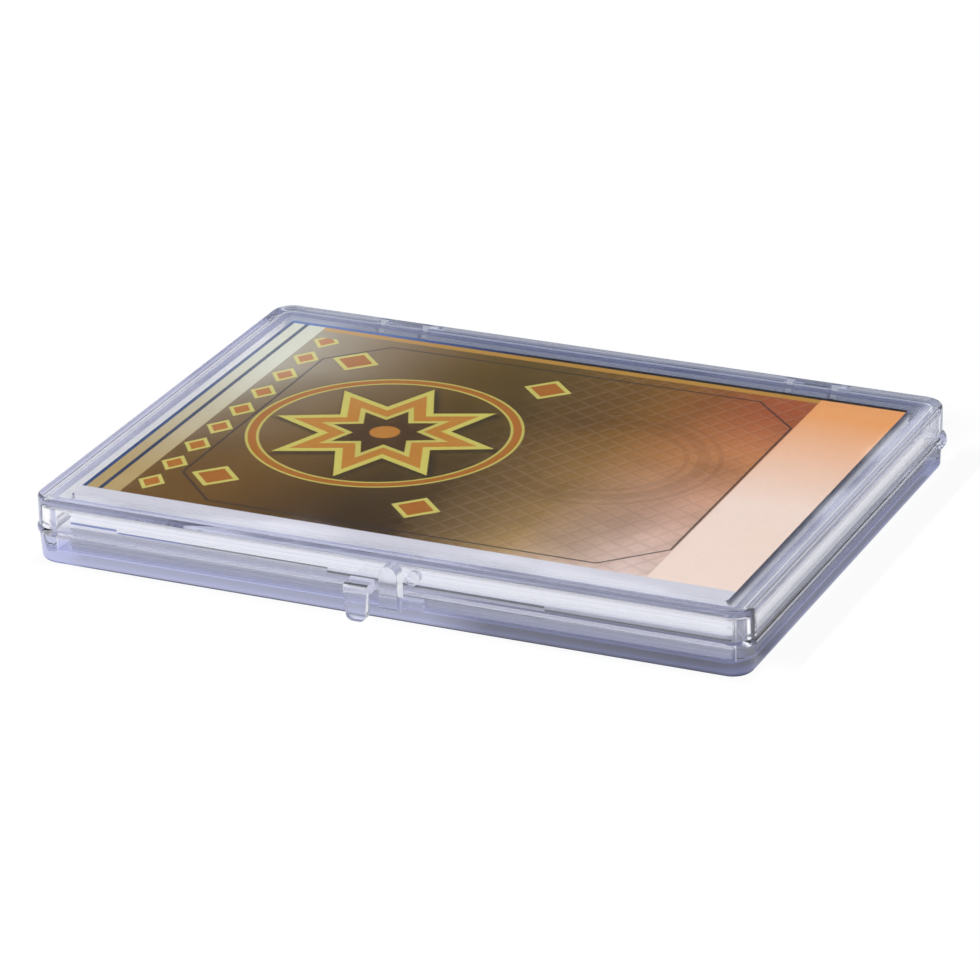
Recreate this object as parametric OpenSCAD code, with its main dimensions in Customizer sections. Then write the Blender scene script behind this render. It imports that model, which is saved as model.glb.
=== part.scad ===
// Hinged clear box for a stack of trading cards, lid shut, standing flat.
// Origin at the centre of the flat underside, +Z up, hinge at +Y, latch at -Y. Millimetres.

/* [Cards] */
// Length of a card, along X
card_l = 88.9; // [80:0.1:125]
// Width of a card, along Y
card_w = 63.5; // [55:0.1:90]
// Thickness of a card
card_t = 0.41; // [0.3:0.01:0.9]
// Number of cards in the stack
card_count = 15; // [8:1:24]
// How far the cards lie out of line with each other
card_jog = 0.16; // [0:0.02:0.6]

/* [Room round the cards] */
// Free room at each short side of the stack
room_x = 1.3; // [0.8:0.1:4]
// Free room at each long side of the stack
room_y = 1.65; // [0.8:0.1:4]
// Free room between the top card and the lid
room_z = 0.2; // [0.1:0.05:2]

/* [Walls] */
// Thickness of the base's floor
floor_t = 1.3; // [0.9:0.05:2.2]
// Thickness of the lid's top plate
plate_t = 1.35; // [0.9:0.05:2.2]
// Thickness of the lid's outer wall
lid_wall = 1.25; // [0.9:0.05:1.6]
// Thickness of the base's inner lip
lip_wall = 1.15; // [0.8:0.05:1.4]
// Gap between the lid's wall and the base's lip
wall_gap = 0.3; // [0.25:0.05:0.5]
// Height of the base's outer wall
base_h = 3.95; // [3.4:0.05:4.2]
// Gap between the base's shoulder and the lid's rim
seam_gap = 0.08; // [0.04:0.02:0.2]
// Gap between the top of the lip and the lid's plate
lip_gap = 0.25; // [0.15:0.05:1]
// How far the base's outer wall draws in towards the floor
base_draft = 0.2; // [0:0.05:0.4]
// How far the lid's inner face draws in towards the plate
lid_draft = 0.1; // [0:0.05:0.15]

/* [Edges] */
// Outer radius of the upright corners
corner_r = 3; // [2.9:0.1:6]
// Radius of the edge round the underside
foot_r = 0.9; // [0.4:0.05:1.2]
// Radius of the edge round the lid's top
top_r = 0.5; // [0.3:0.05:1]
// Radius inside the lid, between its wall and its plate
fillet_r = 0.4; // [0.2:0.05:0.8]
// Radius inside the base, between its lip and its floor
cove_r = 0.5; // [0.2:0.05:0.8]
// How far the bead round the lid's rim stands out
bead_out = 0.25; // [0.1:0.05:0.35]
// Radius of that bead
bead_r = 0.7; // [0.5:0.05:0.9]
// Height of the bead's middle above the rim
bead_up = 0.4; // [0.3:0.05:0.6]

/* [Hinge] */
// Distance of each hinge from the middle
hinge_x = 29.6; // [15:0.1:36]
// How far the hinge line lies behind the back wall
hinge_out = 0.35; // [0.3:0.05:0.6]
// Outer radius of the knuckles and ears
knuckle_r = 1.2; // [1.1:0.05:1.5]
// Length of the lid's knuckle
knuckle_l = 5; // [3:0.1:9]
// Radius of the stub pins
pin_r = 0.6; // [0.45:0.05:0.7]
// Running clearance round the stub pins
pin_gap = 0.06; // [0.03:0.01:0.1]
// Thickness of each ear
ear_t = 0.9; // [0.7:0.05:1.6]
// Side clearance at the ears
ear_gap = 0.2; // [0.1:0.05:0.4]
// Clearance round the knuckle when it turns
swing_gap = 0.2; // [0.1:0.05:0.35]
// Depth below the lid's top at which the slots beside the knuckle end
slot_top = 1.5; // [1.4:0.05:2.5]
// Radius of the small round swelling at each rear corner of the lid
lug_r = 1.3; // [0.9:0.05:1.4]
// Height of that swelling's middle above the rim
lug_up = 0.2; // [0:0.05:0.6]
// How far that swelling stands out from the side
lug_out = 0.6; // [0.2:0.05:0.7]
// Distance of that swelling from the back face
lug_y = 2.7; // [2.5:0.1:5]

/* [Latch] */
// Middle of the lid's hanging tab
lid_tab_x = -2.1; // [-12:0.1:-1.9]
// Width of the lid's tab at its root
lid_tab_w = 3.2; // [2.4:0.1:3.4]
// How much narrower that tab is at its lower end
lid_tab_taper = 0.5; // [0:0.1:1]
// Radius of the corners at its lower end
lid_tab_nose = 0.95; // [0.4:0.05:1.1]
// How far the lid's tab stands out
lid_tab_out = 2.4; // [2:0.1:5]
// Thickness of the part that hangs
lid_tab_t = 1.2; // [0.9:0.05:1.3]
// Height of the root that joins it to the lid
lid_tab_root = 1.45; // [1:0.05:2.5]
// Height of its lower end above the underside
lid_tab_low = 0.6; // [0.3:0.05:1.2]
// Middle of the base's standing tab
base_tab_x = 2.3; // [2.2:0.1:12]
// Width of the base's tab
base_tab_w = 2.4; // [1.6:0.1:3.2]
// How far the base's tab stands out
base_tab_out = 2.3; // [1.8:0.1:5]
// Distance of its upper end below the lid's top
base_tab_drop = 0.5; // [0.3:0.05:1.5]
// Gap between the base's tab and the lid's bead
tab_gap = 0.2; // [0.15:0.05:0.5]
// Width of the catch block that the base's tab stands on
catch_w = 5.1; // [3.5:0.1:8]
// Height of the catch block
catch_h = 1.6; // [1.2:0.1:2.6]
// How far the catch block stands out
catch_out = 0.8; // [0.5:0.05:1.6]
// Middle of the snap pip on the base's lip
pip_x = 3.9; // [-30:0.1:30]
// Radius of the snap pip
pip_r = 0.85; // [0.5:0.05:1.1]
// How far the snap pip stands out
pip_out = 0.2; // [0.1:0.02:0.22]
// Depth of the dimple that the pip clicks into
dimple = 0.25; // [0.05:0.05:0.3]

/* [Hidden] */
card_nodes = [for (i = [1:card_count]) str("card_", i < 10 ? "0" : "", i)];
$fn = 64;
eps = 0.01;
over = 2;

side_l = room_x + lip_wall + wall_gap + lid_wall;
side_w = room_y + lip_wall + wall_gap + lid_wall;
case_l = card_l + 2 * side_l;
case_w = card_w + 2 * side_w;
stack_h = card_count * card_t;
case_h = floor_t + stack_h + room_z + plate_t;
rim_z = base_h + seam_gap;
plate_z = case_h - plate_t;
lip_z = plate_z - lip_gap;

// radii of the faces about an upright corner's centre
lid_in = corner_r - lid_wall;
lip_out = lid_in - wall_gap;
lip_in = lip_out - lip_wall;

front_y = -case_w / 2;
back_y = case_w / 2;
hinge_y = back_y + hinge_out;
hinge_z = case_h / 2;
slot_w = ear_t + 2 * ear_gap;
ear_x = knuckle_l / 2 + ear_gap;
slot_z = case_h - slot_top;
pip_z = (rim_z + lip_z) / 2;
catch_z = base_h - catch_h;

clear_tint = [0.86, 0.86, 0.95, 0.35];
card_white = [0.95, 0.95, 0.93];
card_print = [0.55, 0.37, 0.16];

// Carries a section, drawn outward from a corner's centre, round the case
module round_the_case() {
    for (sx = [0, 1]) {
        for (sy = [0, 1]) {
            mirror([sx, 0, 0])
                mirror([0, sy, 0])
                    translate([case_l / 2 - corner_r, case_w / 2 - corner_r, 0])
                        rotate_extrude(angle = 90) children();
        }
        mirror([sx, 0, 0])
            translate([case_l / 2 - corner_r, case_w / 2 - corner_r, 0])
                rotate([90, 0, 0])
                    linear_extrude(case_w - 2 * corner_r) children();
    }
    for (sy = [0, 1]) {
        mirror([0, sy, 0])
            translate([corner_r - case_l / 2, case_w / 2 - corner_r, 0])
                rotate([90, 0, 90])
                    linear_extrude(case_l - 2 * corner_r) children();
    }
}

// Flat field of a plate between the four corner centres
module plate_field(z, t) {
    translate([corner_r - case_l / 2, corner_r - case_w / 2, z])
        cube([case_l - 2 * corner_r, case_w - 2 * corner_r, t]);
}

// Section of the base: floor, outer wall with a drafted face, shoulder and lip
module base_section() {
    foot_x = corner_r - base_draft - foot_r;
    difference() {
        union() {
            polygon([
                [0, 0], [foot_x, 0], [foot_x + foot_r, foot_r],
                [corner_r, base_h], [0, base_h]
            ]);
            translate([foot_x, foot_r]) circle(foot_r);
            square([lip_out, lip_z]);
        }
        difference() {
            translate([-over, floor_t]) square([lip_in + over, case_h]);
            difference() {
                translate([lip_in - cove_r, floor_t]) square(cove_r);
                translate([lip_in - cove_r, floor_t + cove_r]) circle(cove_r);
            }
        }
        translate([-over - foot_r, -over]) square([over + foot_r, case_h + 2 * over]);
    }
}

// Section of the lid: plate, wall with a drafted inner face, and the bead round its rim
module lid_section() {
    edge_x = corner_r - top_r;
    difference() {
        union() {
            translate([0, rim_z]) square([corner_r, case_h - top_r - rim_z]);
            translate([0, case_h - 2 * top_r]) square([edge_x, 2 * top_r]);
            translate([edge_x, case_h - top_r]) circle(top_r);
            intersection() {
                translate([corner_r + bead_out - bead_r, rim_z + bead_up]) circle(bead_r);
                translate([0, rim_z]) square([corner_r + over, case_h]);
            }
        }
        difference() {
            polygon([
                [-over, rim_z - over], [lid_in, rim_z - over], [lid_in, rim_z],
                [lid_in - lid_draft, plate_z], [-over, plate_z]
            ]);
            difference() {
                translate([lid_in - lid_draft - fillet_r, plate_z - fillet_r])
                    square([fillet_r + lid_draft, fillet_r]);
                translate([lid_in - lid_draft - fillet_r, plate_z - fillet_r])
                    circle(fillet_r);
            }
        }
        translate([-over, 0]) square([over, case_h + over]);
    }
}

// Bar along X at the hinge line
module hinge_bar(x, r, l) {
    translate([x - l / 2, hinge_y, hinge_z])
        rotate([0, 90, 0])
            cylinder(r = r, h = l);
}

// Ear of the base: a round eye on a web that grows out of the back wall
module ear(x) {
    web_low = base_h - 2.4 * knuckle_r;
    hinge_bar(x, knuckle_r, ear_t);
    translate([x - ear_t / 2, 0, 0])
        rotate([90, 0, 90])
            linear_extrude(ear_t)
                polygon([
                    [back_y - lid_wall, web_low], [back_y - base_draft, web_low],
                    [hinge_y + knuckle_r, hinge_z], [hinge_y - knuckle_r, hinge_z],
                    [back_y - lid_wall, base_h - eps]
                ]);
}

// Stands an outline drawn in X and Z upright, from y0 out to y0 - t
module upright(x, y0, t) {
    translate([x, y0, 0])
        rotate([90, 0, 0])
            linear_extrude(t) children();
}

// Bar along X with a round front edge at the top or at the bottom, or at both
module nosed_bar(x, w, z, h, out, low_nose) {
    nose = min(h, out) / 2.5;
    translate([x - w / 2, front_y + lid_wall / 2, 0])
        rotate([90, 0, 90])
            linear_extrude(w) {
                translate([-out - lid_wall / 2 + nose, z])
                    square([out + lid_wall / 2 - nose, h]);
                translate([-out - lid_wall / 2, z + (low_nose ? nose : 0)])
                    square([out, h - nose * (low_nose ? 2 : 1)]);
                for (nz = low_nose ? [nose, h - nose] : [h - nose]) {
                    translate([-out - lid_wall / 2 + nose, z + nz]) circle(nose);
                }
            }
}

// Tab of the lid: a root that stands out from the rim, and a tapered finger that hangs from it
module lid_tab() {
    end_x = (lid_tab_w - lid_tab_taper) / 2;
    nose_x = end_x - lid_tab_nose;
    nose_z = lid_tab_low + lid_tab_nose;
    root_z = rim_z + lid_tab_root;
    nosed_bar(lid_tab_x, lid_tab_w, rim_z, lid_tab_root, lid_tab_out, false);
    upright(lid_tab_x, front_y - lid_tab_out + lid_tab_t, lid_tab_t) {
        for (s = [-1, 1]) {
            translate([s * nose_x, nose_z]) circle(lid_tab_nose);
        }
        polygon([
            [-nose_x, lid_tab_low], [nose_x, lid_tab_low], [end_x, nose_z],
            [lid_tab_w / 2, root_z - lid_tab_root / 2],
            [-lid_tab_w / 2, root_z - lid_tab_root / 2], [-end_x, nose_z]
        ]);
    }
}

// Tab of the base: a thick finger with a round top that stands in front of the lid
module base_tab() {
    end_r = base_tab_w / 2;
    rear_y = front_y - bead_out - tab_gap;
    nosed_bar(base_tab_x, base_tab_w, catch_z, catch_h - seam_gap, base_tab_out, true);
    upright(base_tab_x, rear_y, base_tab_out - bead_out - tab_gap) {
        translate([-end_r, base_h - catch_h / 2])
            square([base_tab_w, case_h - base_tab_drop - end_r - base_h + catch_h / 2]);
        translate([0, case_h - base_tab_drop - end_r]) circle(end_r);
    }
}

// Block that the base's tab stands on, with a rounded nose
module catch_block() {
    nosed_bar(
        base_tab_x + (catch_w - base_tab_w) / 2, catch_w,
        catch_z, catch_h - seam_gap, catch_out, true
    );
}

// Shallow round dome about a point of the front lip, used for the pip and its dimple
module front_dome(y, out) {
    ball_r = (pip_r * pip_r + out * out) / (2 * out);
    translate([pip_x, y + ball_r - out, pip_z])
        intersection() {
            sphere(ball_r);
            translate([0, out - ball_r, 0])
                rotate([-90, 0, 0])
                    translate([0, 0, -over])
                        cylinder(r = pip_r, h = 2 * over);
        }
}

// Shallow round swelling on the lid's right side, over the seam
module side_swelling() {
    ball_r = (lug_r * lug_r + lug_out * lug_out) / (2 * lug_out);
    translate([case_l / 2, back_y - lug_y, rim_z + lug_up])
        intersection() {
            translate([lug_out - ball_r, 0, 0]) sphere(ball_r);
            translate([-eps, -lug_r, -lug_r]) cube([lug_out + over, 2 * lug_r, 2 * lug_r]);
        }
}

module base_tray() {
    color(clear_tint)
        difference() {
            union() {
                round_the_case() base_section();
                plate_field(0, floor_t);
                for (s = [-1, 1]) {
                    for (e = [-1, 1]) {
                        ear(s * hinge_x + e * (ear_x + ear_t / 2));
                    }
                }
                base_tab();
                catch_block();
                front_dome(front_y + corner_r - lip_out, pip_out);
            }
            for (s = [-1, 1]) {
                hinge_bar(s * hinge_x, pin_r + pin_gap, knuckle_l + 4 * slot_w);
                hinge_bar(s * hinge_x, knuckle_r + swing_gap, knuckle_l + 2 * ear_gap);
            }
        }
}

// Cuts the two slots that part a knuckle's arm from the lid's back wall
module arm_slots(x) {
    for (e = [-1, 1]) {
        translate([
            x + e * (ear_x + ear_t / 2) - slot_w / 2,
            back_y - lid_wall - lid_draft - wall_gap,
            rim_z - over
        ])
            cube([slot_w, lid_wall + lid_draft + wall_gap + over, slot_z - rim_z + over]);
    }
}

module hinged_lid() {
    color(clear_tint)
        difference() {
            union() {
                difference() {
                    union() {
                        round_the_case() lid_section();
                        plate_field(plate_z, plate_t);
                    }
                    for (s = [-1, 1]) {
                        arm_slots(s * hinge_x);
                    }
                }
                for (s = [-1, 1]) {
                    hinge_bar(s * hinge_x, knuckle_r, knuckle_l);
                    hinge_bar(s * hinge_x, pin_r, knuckle_l + 2 * (ear_gap + ear_t));
                    mirror([s < 0 ? 1 : 0, 0, 0]) side_swelling();
                }
                lid_tab();
            }
            front_dome(front_y + lid_wall + dimple, dimple + pip_out);
        }
}

// One card of the stack, a little out of line with its neighbours
module card(i) {
    turn = 137.5 * i;
    translate([
        card_jog * sin(turn) - card_l / 2,
        card_jog * cos(turn) - card_w / 2,
        floor_t + (i - 1) * card_t
    ])
        color(i == card_count ? card_print : card_white)
            cube([card_l, card_w, card_t]);
}

base_tray();
hinged_lid();
for (i = [1:card_count]) card(i);
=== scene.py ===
"""A clear hinged box with its stack of trading cards, shut, on a white table."""

import math

import bpy
from mathutils import Matrix, Vector


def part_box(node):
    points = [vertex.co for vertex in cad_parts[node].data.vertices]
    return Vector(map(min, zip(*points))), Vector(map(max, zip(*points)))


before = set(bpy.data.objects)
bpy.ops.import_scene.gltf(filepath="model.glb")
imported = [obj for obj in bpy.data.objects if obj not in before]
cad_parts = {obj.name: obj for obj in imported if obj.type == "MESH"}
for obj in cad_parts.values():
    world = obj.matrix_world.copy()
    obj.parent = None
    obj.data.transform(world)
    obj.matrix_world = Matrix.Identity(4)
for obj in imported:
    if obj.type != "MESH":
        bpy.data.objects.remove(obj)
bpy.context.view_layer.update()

# The base tray is the lower half of the box, moulded in one shot of clear polystyrene
# together with its lip, its hinge ears and the latch tab that stands up in front of the lid.
# The plastic is polished, and thick stretches of it look faintly violet. Its colour also holds
# painted shade, greyer at the rim, darker at the rear and more violet at the foot, and painted light
# on the paler tabs.

mm = 1000
card_nodes = sorted(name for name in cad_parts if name.startswith("card_"))
top_low, top_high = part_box(card_nodes[-1])
half_l = (top_high.x - top_low.x) / 2 * mm
half_w = (top_high.y - top_low.y) / 2 * mm
stack_top = top_high.z * mm

window_x = half_l + 0.65
window_y = half_w + 0.85
wall_band = (5.2, stack_top + 0.1)
foot_top = 2.6
tab_root_y = -36.45


class Wire:
    """A socket of a material that takes part in arithmetic."""

    def __init__(self, finish, socket):
        self.finish = finish
        self.socket = socket

    def maths(self, operation, *others, clamp=False):
        inputs = dict(enumerate((self, *others)))
        settings = {"operation": operation, "use_clamp": clamp}
        return self.finish.wire("ShaderNodeMath", settings, inputs)

    def clipped(self):
        """The value, held between 0 and 1."""
        return self.maths("ADD", 0, clamp=True)

    def __add__(self, other):
        return self.maths("ADD", other)

    __radd__ = __add__

    def __sub__(self, other):
        return self.maths("SUBTRACT", other)

    def __rsub__(self, other):
        return (self * -1) + other

    def __mul__(self, other):
        return self.maths("MULTIPLY", other)

    __rmul__ = __mul__

    def __truediv__(self, other):
        return self.maths("DIVIDE", other)

    def __or__(self, other):
        """The larger of two values, so either of two masks."""
        return self.maths("MAXIMUM", other)

    def __and__(self, other):
        """The smaller of two values."""
        return self.maths("MINIMUM", other)

    def __abs__(self):
        return self.maths("ABSOLUTE")

    def __neg__(self):
        return self * -1


class Finish:
    """A material or a world, built up node by node."""

    def __init__(self, owner):
        self.owner = owner
        owner.use_nodes = True
        self.tree = owner.node_tree
        self.tree.nodes.clear()

    def node(self, kind, settings=None, inputs=None):
        made = self.tree.nodes.new(kind)
        for key, value in (settings or {}).items():
            setattr(made, key, value)
        for key, value in (inputs or {}).items():
            if isinstance(value, Wire):
                self.tree.links.new(value.socket, made.inputs[key])
            else:
                made.inputs[key].default_value = value
        return made

    def wire(self, kind, settings=None, inputs=None, output=0):
        return Wire(self, self.node(kind, settings, inputs).outputs[output])

    def parts(self, vector):
        """The three numbers of a vector."""
        split = self.node("ShaderNodeSeparateXYZ", None, {0: vector})
        return [Wire(self, out) for out in split.outputs]

    def place(self):
        """The three object coordinates in millimetres."""
        where = self.wire("ShaderNodeTexCoord", output="Object")
        return [part * mm for part in self.parts(where)]

    def facing(self):
        """The three numbers of the direction in which a face looks."""
        return self.parts(self.wire("ShaderNodeNewGeometry", output="True Normal"))

    def ray(self, kind):
        return self.wire("ShaderNodeLightPath", output=f"Is {kind} Ray")

    def noise(self, per_mm, detail, stretch=(1, 1, 1)):
        where = self.wire("ShaderNodeTexCoord", output="Object")
        scaled = self.wire("ShaderNodeVectorMath", {"operation": "MULTIPLY"}, {0: where, 1: stretch})
        inputs = {"Vector": scaled, "Scale": per_mm * mm, "Detail": detail}
        return self.wire("ShaderNodeTexNoise", None, inputs, "Fac")

    def tint(self, under, over, amount):
        """Lays one colour over another by an amount from 0 to 1."""
        settings = {"data_type": "RGBA", "clamp_factor": True}
        inputs = {0: amount, 6: colour(under), 7: colour(over)}
        return self.wire("ShaderNodeMix", settings, inputs, output=2)

    def bump(self, height, strength, distance):
        inputs = {"Height": height, "Strength": strength, "Distance": distance}
        return self.wire("ShaderNodeBump", None, inputs)

    def surface(self, shader, **others):
        is_world = isinstance(self.owner, bpy.types.World)
        kind = "ShaderNodeOutputWorld" if is_world else "ShaderNodeOutputMaterial"
        self.node(kind, None, {"Surface": shader, **others})


def colour(value):
    """Turns a screen colour from 0 to 255 into the linear colour that a shader takes."""
    if isinstance(value, Wire):
        return value
    screen = [part / 255 for part in value]
    linear = [v / 12.92 if v < 0.04045 else ((v + 0.055) / 1.055) ** 2.4 for v in screen]
    return (*linear, 1)


def inside_of(value, soft=0.12):
    """1 where a distance in millimetres is above zero, with an edge as wide as soft."""
    return (value / soft).maths("ADD", 0.5, clamp=True)


def fade_in(value, start, length):
    """Grows from 0 at the start to 1 over the length."""
    return ((value - start) / length).clipped()


def plastic_tone_and_painted_shade(finish, x, y, z, tab):
    """Clear over the cards; painted shade greys the rim except in a band at the stack's height,
    darkens the rear and deepens the foot's own violet; painted light keeps the tabs paler.
    """
    rim = inside_of(abs(x) - window_x | abs(y) - window_y, 1.2)
    band = inside_of(z - wall_band[0], 0.8) * inside_of(wall_band[1] - z, 0.2)
    foot = inside_of(foot_top - z, 1.6)
    rear = inside_of(y - window_y, 1.2)
    # Painted shade: the rim greyer, left clear in the band where the card edges show through.
    tone = finish.tint((255, 255, 255), (237, 237, 242), rim * (1 - band))
    # The foot's violet is the plastic's own tint, deepened as painted shade.
    tone = finish.tint(tone, (214, 217, 247), rim * foot)
    # Painted shade: the rear walls darker.
    tone = finish.tint(tone, (206, 210, 223), rear)
    # Painted light: the front tabs paler than the rim.
    return finish.tint(tone, (252, 253, 255), tab), rim


def clear_plastic():
    finish = Finish(bpy.data.materials.new("clear_polystyrene"))
    x, y, z = finish.place()
    tab = inside_of(tab_root_y - y, 0.3)
    tone, rim = plastic_tone_and_painted_shade(finish, x, y, z, tab)
    scuff = finish.noise(1.6, 3.0, (1, 0.15, 1))
    flow = finish.noise(0.05, 1.0)
    body = finish.wire(
        "ShaderNodeBsdfPrincipled",
        None,
        {
            "Base Color": tone,
            "Roughness": 0.012 + 0.02 * rim * scuff + 0.14 * tab,
            "IOR": 1.57,
            "Transmission Weight": 1.0,
            "Normal": finish.bump(flow, 0.05, 0.0004),
        },
    )
    thin = finish.wire("ShaderNodeBsdfTransparent", None, {"Color": (0.995, 0.995, 1, 1)})
    soft_light = finish.ray("Shadow") | finish.ray("Diffuse")
    soak = {"Color": (0.66, 0.67, 0.86, 1), "Density": 10}
    finish.surface(
        finish.wire("ShaderNodeMixShader", None, {0: soft_light, 1: body, 2: thin}),
        Volume=finish.wire("ShaderNodeVolumeAbsorption", None, soak),
    )
    return finish.owner


def dress(node, material):
    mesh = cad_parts[node].data
    mesh.materials.clear()
    mesh.materials.append(material)


polystyrene = clear_plastic()
dress("base_tray", polystyrene)

# The cards are coated white board, guillotined, so that their cut edges show the pale
# core between two thin coats. They lie in a loose stack on the tray's floor.

bottom_low, bottom_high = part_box(card_nodes[0])
card_t = (bottom_high.z - bottom_low.z) * mm
stack_foot = bottom_low.z * mm
core_share = 0.36
shaded_lower_cards = 6.5
shaded_rim = 0.25
shaded_depth = 0.65
edge_line_height = 2.75
edge_line_slope = 0.014
brown_card = 10.5
back_border = 3.25
lozenge_pitch = 4.0


def board(finish, x, y, z):
    """White board: coats and core, a slow drift from card to card, painted shade that greys the
    lower cards, and painted shadow on the top cards' cut edges at both ends and the back.
    """
    count = (z - stack_foot) / card_t
    core = abs(count.maths("FRACT") - 0.5).maths("LESS_THAN", core_share)
    which = count.maths("FLOOR")
    drift = (which * 2.399).maths("SINE") * 0.5 + 0.5
    coat = finish.tint((248, 249, 254), (240, 242, 249), drift)
    inner = finish.tint((232, 232, 238), (241, 240, 240), drift)
    # Painted shade: the lower cards greyer.
    lower = which.maths("LESS_THAN", shaded_lower_cards)
    tone = finish.tint(finish.tint(coat, inner, core), (188, 190, 200), lower)
    # Painted shadow: the top cards' cut edges darker at both ends and the back.
    edge_x = inside_of(abs(x) - (half_l - shaded_rim), 0.1)
    edge_y = inside_of(y - (half_w - shaded_rim), 0.1)
    upper = inside_of(z - (stack_top - shaded_depth), 0.5)
    return finish.tint(tone, (116, 120, 136), (edge_x | edge_y) * upper)


def ink_and_shade_lines(finish, paper, x, z, facing):
    """Lines on the cut edges: along the front one that steps down from card to card, blue print at
    the left turning into painted shadow of a gap, dark grey, to the right; and a brown line on the
    right ends of one card.
    """
    front = facing[1].maths("LESS_THAN", -0.5)
    right = facing[0].maths("GREATER_THAN", 0.5)
    height = z - stack_foot
    step = ((edge_line_height - edge_line_slope * x) / card_t).maths("FLOOR") * card_t
    dark = inside_of(0.16 - abs(height - step - card_t / 2), 0.06)
    # Blue print at the left, painted shadow of a gap in dark grey to the right.
    ink_and_shade = finish.tint((40, 84, 168), (52, 56, 66), inside_of(x + 28, 3))
    face = finish.tint(paper, ink_and_shade, dark * front * 0.9)
    brown = inside_of(0.15 - abs(height - brown_card * card_t), 0.06)
    return finish.tint(face, (132, 92, 72), brown * right * 0.8)


def card_back(finish, under, x, y):
    """Plain geometric back of a card: a blue-grey field of small lozenges in a pale border."""
    inside = half_w - back_border - abs(y) & half_l - back_border - abs(x)
    rising = ((x + y) / lozenge_pitch).maths("PINGPONG", 0.5)
    falling = ((x - y) / lozenge_pitch).maths("PINGPONG", 0.5)
    lozenge = inside_of(rising + falling - 0.5, 0.06)
    cloth = finish.tint((88, 104, 138), (142, 154, 180), lozenge)
    return finish.tint(under, cloth, inside_of(inside, 0.1))


def white_card_board():
    finish = Finish(bpy.data.materials.new("white_card_board"))
    x, y, z = finish.place()
    facing = finish.facing()
    edges = ink_and_shade_lines(finish, board(finish, x, y, z), x, z, facing)
    back = card_back(finish, edges, x, y)
    fibre = finish.noise(2.2, 4.0)
    body = finish.wire(
        "ShaderNodeBsdfPrincipled",
        None,
        {
            "Base Color": finish.tint(edges, back, facing[2].maths("LESS_THAN", -0.5)),
            "Roughness": 0.45 + 0.2 * fibre,
            "Normal": finish.bump(fibre, 0.15, 0.00005),
        },
    )
    finish.surface(body)
    return finish.owner


stock = white_card_board()
for card in card_nodes[:-1]:
    dress(card, stock)

# The top card is printed on its face: a striped cream edge on the left, a brown and gold
# field with a star and small lozenges, and a pale panel on the right. Its thin varnish has
# almost no gloss of its own under the lid.

card_mid_x = (top_high.x + top_low.x) / 2 * mm
card_mid_y = (top_high.y + top_low.y) / 2 * mm
lattice_pitch = 5.2
wheel_x, wheel_y, wheel_r = 14, 3, 12.5
star_x, star_y = -16.0, 0.5
star_points = 8
star_r, star_notch_r = 15.5, 8.6
core_r, core_notch_r = 8.2, 4.6
boss_r = 2.0
halo_r = 17.2
row_x, row_pitch, row_end = -36.8, 6.4, 27.5
corner_dx, corner_dy = 14.0, 20.8
rule_mid_x, rule_half_x, rule_half_y, rule_cut = -1.0, 33.5, 27.6, 7
panel_x = 32.8
cream_x = -39.1
blue_line_x = -41.9
ink_and_shadow_edge = 0.75
gold_line_in, gold_line_w = 1.35, 1.3
front_strip = 2.6


def stripe(value, middle, width):
    return inside_of(width / 2 - abs(value - middle))


def radius(x, y):
    return (x * x + y * y).maths("SQRT")


def star(x, y, outer, notch_r):
    """Signed distance to a star with straight sides, below zero inside."""
    turn = math.pi / star_points
    folded = y.maths("ARCTAN2", x).maths("PINGPONG", turn)
    along = radius(x, y) * folded.maths("COSINE")
    across = radius(x, y) * folded.maths("SINE")
    tip = Vector((outer, 0))
    notch = Vector((notch_r * math.cos(turn), notch_r * math.sin(turn)))
    side = (notch - tip).normalized()
    return (along - tip.x) * side.y - across * side.x


def ground(finish, x, y, cloud):
    """Olive brown, warmer to the right, with a painted pale reflection of haze at the back left."""
    tint = finish.tint
    back = fade_in(y, -half_w, 2 * half_w)
    amber = tint((176, 144, 94), (130, 88, 30), (back * 1.4).clipped())
    warm = tint((236, 212, 202), (206, 138, 88), (back * 1.7).clipped())
    warm = tint(warm, (164, 84, 46), fade_in(y, 6, 18))
    field = tint((56, 36, 10), (98, 76, 26), back)
    field = tint(field, amber, fade_in(x, -2, 16))
    field = tint(field, warm, fade_in(x, 13, 16))
    field = tint(field, (122, 86, 32), fade_in(-x, 10, 18) * 0.7)
    field = tint(field, (58, 38, 14), (cloud - 0.5) * 1.4)
    # Painted reflection: a pale haze over the back left of the field.
    painted_haze = fade_in(-x, 10, 28) * fade_in(y, -26, 42)
    return tint(field, (188, 188, 168), painted_haze * painted_haze * 0.45)


def lattice(x, y, shift):
    """Thin lines that cross at a slant."""
    rising = ((x * 0.5 + y * 0.9 + shift) / lattice_pitch).maths("PINGPONG", 0.5)
    falling = ((x * 0.9 - y * 0.5 + shift) / lattice_pitch).maths("PINGPONG", 0.5)
    return inside_of(0.03 - abs(rising - 0.25), 0.09) | inside_of(0.03 - abs(falling - 0.25), 0.09)


def embossed(finish, field, x, y):
    """Faint lattice and wheel pressed into the right of the field, darker in their lines with a
    painted highlight beside the lattice lines, and how high they stand.
    """
    on_right = fade_in(x, -6, 10)
    # Painted highlight: a lighter copy of the lattice, shifted beside its lines.
    field = finish.tint(field, (236, 206, 180), lattice(x, y, 0.35) * on_right * 0.08)
    rim = abs(radius(x - wheel_x, y - wheel_y) - wheel_r)
    wheel = inside_of(0.9 - rim) | inside_of(0.35 - abs(rim - 2.2))
    relief = lattice(x, y, 0) * on_right | wheel
    return finish.tint(field, (84, 56, 30), relief * 0.18), relief


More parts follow.
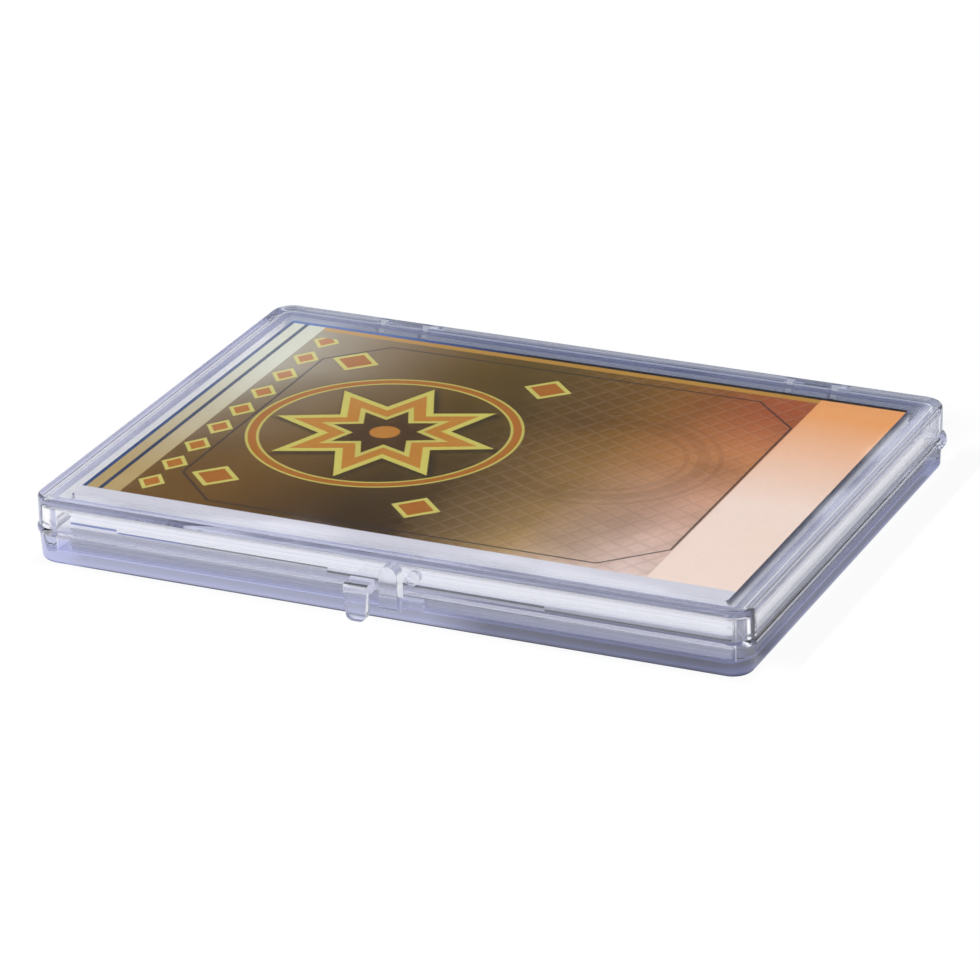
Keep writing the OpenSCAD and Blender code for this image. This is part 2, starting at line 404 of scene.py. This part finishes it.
def star_in_ring(finish, field, x, y, cloud):
    """Star with an outline, a core and a drop shadow, in a ring."""
    tint = finish.tint
    sx = x - star_x
    sy = y - star_y
    gold = tint((176, 106, 34), (206, 150, 62), cloud)
    shadow = star(sx - 0.7, sy + 0.7, star_r, star_notch_r)
    body = star(sx, sy, star_r, star_notch_r)
    core = star(sx, sy, core_r, core_notch_r)
    halo = abs(radius(sx, sy) - halo_r)
    field = tint(field, (44, 30, 14), inside_of(0.4 - shadow, 0.8) * 0.7)
    field = tint(field, (206, 196, 96), inside_of(-body))
    field = tint(field, gold, inside_of(-0.95 - body))
    field = tint(field, (74, 50, 22), inside_of(-core))
    field = tint(field, (200, 190, 96), inside_of(0.35 - abs(core)))
    field = tint(field, gold, inside_of(boss_r - radius(sx, sy)))
    field = tint(field, (196, 184, 92), inside_of(0.9 - halo))
    return tint(field, (170, 104, 34), inside_of(0.55 - halo))


def small_lozenges(finish, field, x, y):
    """A row down the left of the field, and four at the corners of the star."""
    tint = finish.tint
    row_y = (y + 28).maths("MODULO", row_pitch) - row_pitch / 2
    row = abs(x - row_x) + abs(row_y) * 0.75
    in_row = inside_of(row_end - abs(y))
    field = tint(field, (206, 196, 104), inside_of(1.9 - row) * in_row)
    field = tint(field, (178, 108, 36), inside_of(1.25 - row) * in_row)
    corner = abs(abs(x - star_x) - corner_dx) + abs(abs(y - star_y) - corner_dy)
    field = tint(field, (204, 194, 100), inside_of(3.4 - corner))
    return tint(field, (168, 100, 32), inside_of(2.5 - corner))


def rule_and_gold_line(finish, field, x, y):
    """Thin dark rule with cut corners round the field, and a gold line behind it."""
    past_x = abs(x - rule_mid_x) - rule_half_x
    past_y = abs(y) - rule_half_y
    rule = past_x | past_y | (past_x + past_y + rule_cut) * 0.707
    field = finish.tint(field, (40, 38, 44), inside_of(0.16 - abs(rule)) * 0.85)
    gold_line = stripe(y, half_w - gold_line_in, gold_line_w)
    return finish.tint(field, (190, 142, 56), gold_line * 0.9)


def panel_and_edges(finish, field, x, y, cloud):
    """Pale panel on the right, cream edge with blue lines, a back edge in blue print at the left
    turning into painted shadow near black to the right, and a pale grey strip along the front edge.
    """
    tint = finish.tint
    panel = tint((252, 228, 214), (242, 158, 80), fade_in(y, -4, 30))
    panel = tint(panel, (234, 206, 176), cloud * 0.3)
    cream = tint((184, 158, 104), (208, 209, 188), fade_in(y, -22, 40))
    # The back edge: blue print at the left, painted shadow to the right.
    ink_and_shade = tint((44, 92, 164), (8, 8, 12), fade_in(x, -30, 22))
    field = tint(field, panel, inside_of(x - panel_x))
    field = tint(field, cream, inside_of(cream_x - x))
    field = tint(field, (20, 44, 84), stripe(x, blue_line_x, 0.6))
    field = tint(field, (24, 62, 116), stripe(x, 0.3 - half_l, 0.6))
    field = tint(field, ink_and_shade, inside_of(y - half_w + ink_and_shadow_edge))
    return tint(field, (214, 213, 222), inside_of(front_strip - half_w - y))


def printed_card_face():
    finish = Finish(bpy.data.materials.new("printed_card_face"))
    place_x, place_y, z = finish.place()
    x = place_x - card_mid_x
    y = place_y - card_mid_y
    cloud = finish.noise(0.06, 3.0)
    grain = finish.noise(0.9, 3.0)
    field, relief = embossed(finish, ground(finish, x, y, cloud), x, y)
    field = star_in_ring(finish, field, x, y, cloud)
    field = small_lozenges(finish, field, x, y)
    field = rule_and_gold_line(finish, field, x, y)
    field = panel_and_edges(finish, field, x, y, cloud)
    field = finish.tint(field, (128, 104, 80), (grain - 0.5) * 0.12)
    above = finish.facing()[2].maths("GREATER_THAN", 0.5)
    body = finish.wire(
        "ShaderNodeBsdfPrincipled",
        None,
        {
            "Base Color": finish.tint(board(finish, x, y, z), field, above),
            "Roughness": 0.34 + 0.04 * grain,
            "Specular IOR Level": 0.06,
            "Normal": finish.bump(relief, 0.3, 0.00006),
        },
    )
    finish.surface(body)
    return finish.owner


dress(card_nodes[-1], printed_card_face())

# The hinged lid is the upper half, the same plastic in a second mould, snapped into the
# tray's ears by two stub pins at each knuckle. It shuts over the tray's lip.

dress("hinged_lid", polystyrene)

# The case stands on a white table. What shows in its gloss and through its plastic carries painted
# shadow: darker under the case, close behind it and in a strip on its right, and plain white
# elsewhere.
# The table top lies a hair above the case's underside, so that the two touch.

table_half = 3.0
table_top = 0.00002
footprint_x = 48.6
footprint_y = 36.3
dark_right_from = 9
dark_front_from = -22
dark_back_from = 12
dark_back_to_x = 13
behind_y, behind_half_x, behind_half_y = 45, 47, 7.5
beside_x, beside_half_x = 50.7, 2.1
beside_y, beside_half_y = 6, 36


def table_top_mesh():
    mesh = bpy.data.meshes.new("table")
    turns = ((-1, -1), (1, -1), (1, 1), (-1, 1))
    corners = [(sx * table_half, sy * table_half, table_top) for sx, sy in turns]
    mesh.from_pydata(corners, [], [(0, 1, 2, 3)])
    return mesh


def white_table():
    finish = Finish(bpy.data.materials.new("white_table"))
    across, along, _ = finish.place()
    # Painted shadow under the case, seen only through its plastic and in its gloss.
    under = inside_of(footprint_x - abs(across), 1.5) * inside_of(footprint_y - abs(along), 1.5)
    in_front = inside_of(dark_front_from - along, 8)
    dark_right = inside_of(across - dark_right_from, 8) * (0.45 + 0.55 * in_front)
    dark_back = inside_of(along - dark_back_from, 4) * inside_of(dark_back_to_x - across, 6)
    behind = inside_of(behind_half_x - abs(across), 6)
    behind = behind * inside_of(behind_half_y - abs(along - behind_y), 8)
    beside = inside_of(beside_half_x - abs(across - beside_x), 0.6)
    beside = beside * inside_of(beside_half_y - abs(along - beside_y), 4)
    leftward = fade_in(-across, -40, 80)
    through_case = finish.ray("Glossy") | finish.ray("Transmission")

    # Painted shadow: the table's colour darker under the case, more to the right and front, darkest
    # close behind and beside it.
    shade = finish.tint((140, 145, 180), (84, 90, 126), dark_right)
    paint = finish.tint((238, 238, 240), shade, under)
    paint = finish.tint(paint, (62, 66, 88), (behind | beside) * 0.9)
    lit = finish.wire("ShaderNodeBsdfDiffuse", None, {"Color": paint})
    # Painted shadow tinted violet: the backdrop's glow under the case, as seen through it.
    backdrop_glow = finish.tint((255, 255, 255), (236, 238, 255), under * through_case)
    bright = finish.wire("ShaderNodeEmission", None, {"Color": backdrop_glow, "Strength": 1.0})

    # Painted shadow: the glow dims under, behind and beside the case, less so to the left.
    dimmed = 0.8 - under * (0.42 - 0.16 * leftward + 0.24 * dark_right + 0.34 * dark_back)
    dimmed = dimmed * (1 - 0.7 * behind) * (1 - 0.75 * beside)
    seen = finish.ray("Camera") * 0.95 | through_case * dimmed
    finish.surface(finish.wire("ShaderNodeMixShader", None, {0: seen, 1: lit, 2: bright}))
    return finish.owner


table = bpy.data.objects.new("table", table_top_mesh())
table.data.materials.append(white_table())
bpy.context.collection.objects.link(table)

# The room is pale, with a darker stretch of ceiling towards the back, where three lamps
# and a patch of haze hang. They show in the lid. Its right and front walls are brighter.

backward_way = Vector((-0.36, 0.85, 0.36)).normalized()
left_lamp_x, left_lamp_light = -1.158, 0.65
right_lamp_x, right_lamp_light = -0.797, 1.5
front_lamp_y, front_lamp_light = 2.026, 1.0
lamp_edge = 0.004
haze_edge_x = -1.156


def lit_ceiling(sky_x, sky_y):
    """The lamps and the haze, by where a direction meets a ceiling one unit up."""
    left_lamp = inside_of(left_lamp_x - sky_x, lamp_edge) * left_lamp_light
    right_lamp = inside_of(sky_x - right_lamp_x, lamp_edge) * right_lamp_light
    front_lamp = inside_of(front_lamp_y - sky_y, lamp_edge) * front_lamp_light
    haze_x = (-9.10 * sky_x - 9.27).clipped()
    haze_y = (6.07 * sky_y - 12.49).clipped()
    haze = haze_x * haze_x * haze_y * haze_y * (1 - inside_of(haze_edge_x - sky_x, lamp_edge))
    return 0.03 + (left_lamp | right_lamp | front_lamp) + 0.53 * haze


def pale_room():
    finish = Finish(bpy.data.worlds.new("room"))
    toward = finish.wire("ShaderNodeTexCoord", output="Generated")
    toward_x, toward_y, toward_z = finish.parts(toward)
    height = toward_z | 0.05
    above_floor = inside_of(toward_z - 0.15, 0.1)
    right_wall = inside_of(toward_x - 0.25, 0.15) * above_floor * inside_of(toward_y, 0.4)
    front_wall = inside_of(-0.4 - toward_y, 0.2) * above_floor
    ceiling = fade_in(toward_z, 0.5, 0.3)
    backward = finish.wire(
        "ShaderNodeVectorMath",
        {"operation": "DOT_PRODUCT"},
        {0: toward, 1: backward_way},
        "Value",
    )
    dark_stretch = fade_in(backward, 0.86, 0.08)
    walls = 0.36 + 0.25 * ceiling + 0.8 * right_wall + 0.15 * front_wall
    overhead = lit_ceiling(toward_x / height, toward_y / height)
    strength = walls * (1 - dark_stretch) + dark_stretch * overhead
    light = {"Color": (0.93, 0.95, 1, 1), "Strength": strength}
    finish.surface(finish.wire("ShaderNodeBackground", None, light))
    return finish.owner


bpy.context.scene.world = pale_room()

# Two soft boxes light the case, a large one overhead and a small one in front. They don't
# show in the gloss of the plastic or through it.


def softbox(name, at, size, watts):
    lamp = bpy.data.lights.new(name, "AREA")
    lamp.shape = "SQUARE"
    lamp.size = size
    lamp.energy = watts
    holder = bpy.data.objects.new(name, lamp)
    bpy.context.collection.objects.link(holder)
    holder.location = at
    holder.rotation_euler = (-Vector(at)).to_track_quat("-Z", "Y").to_euler()
    holder.visible_glossy = False
    holder.visible_transmission = False


softbox("overhead_box", (-0.25, 0.15, 0.9), size=0.8, watts=5.2)
softbox("front_box", (-0.2, -0.9, 0.5), size=0.5, watts=3)

# The camera stands to the right in front of the case and looks down on it. Its angles,
# distance and lens were fitted to the outline of the case and of the top card.

view_turn = math.radians(24.39)
view_down = math.radians(23.58)
view_roll = math.radians(-1.23)
view_distance = 0.6594
lens_px = 5122
frame_px = 980
offset_x_px = 8.7
offset_y_px = 21.1

ahead = Vector((
    -math.sin(view_turn) * math.cos(view_down),
    math.cos(view_turn) * math.cos(view_down),
    -math.sin(view_down),
))
level = Vector((math.cos(view_turn), math.sin(view_turn), 0))
upward = level.cross(ahead)
side = level * math.cos(view_roll) + upward * math.sin(view_roll)
top = upward * math.cos(view_roll) - level * math.sin(view_roll)
camera_data = bpy.data.cameras.new("camera")
camera_data.sensor_width = 36
camera_data.lens = camera_data.sensor_width * lens_px / frame_px
camera_data.shift_x = -offset_x_px / frame_px
camera_data.shift_y = offset_y_px / frame_px
camera_data.clip_start = 0.01
camera = bpy.data.objects.new("camera", camera_data)
bpy.context.collection.objects.link(camera)
turn = Matrix((side, top, -ahead)).transposed().to_4x4()
camera.matrix_world = Matrix.Translation(-ahead * view_distance) @ turn
bpy.context.scene.camera = camera

# Light crosses many faces of clear plastic on its way to a card and back, so its paths are
# long. Colours are shown as they are, with no film curve over them.

bpy.context.scene.view_settings.view_transform = "Standard"
bpy.context.scene.cycles.max_bounces = 48
bpy.context.scene.cycles.glossy_bounces = 48
bpy.context.scene.cycles.transmission_bounces = 48
bpy.context.scene.cycles.transparent_max_bounces = 24
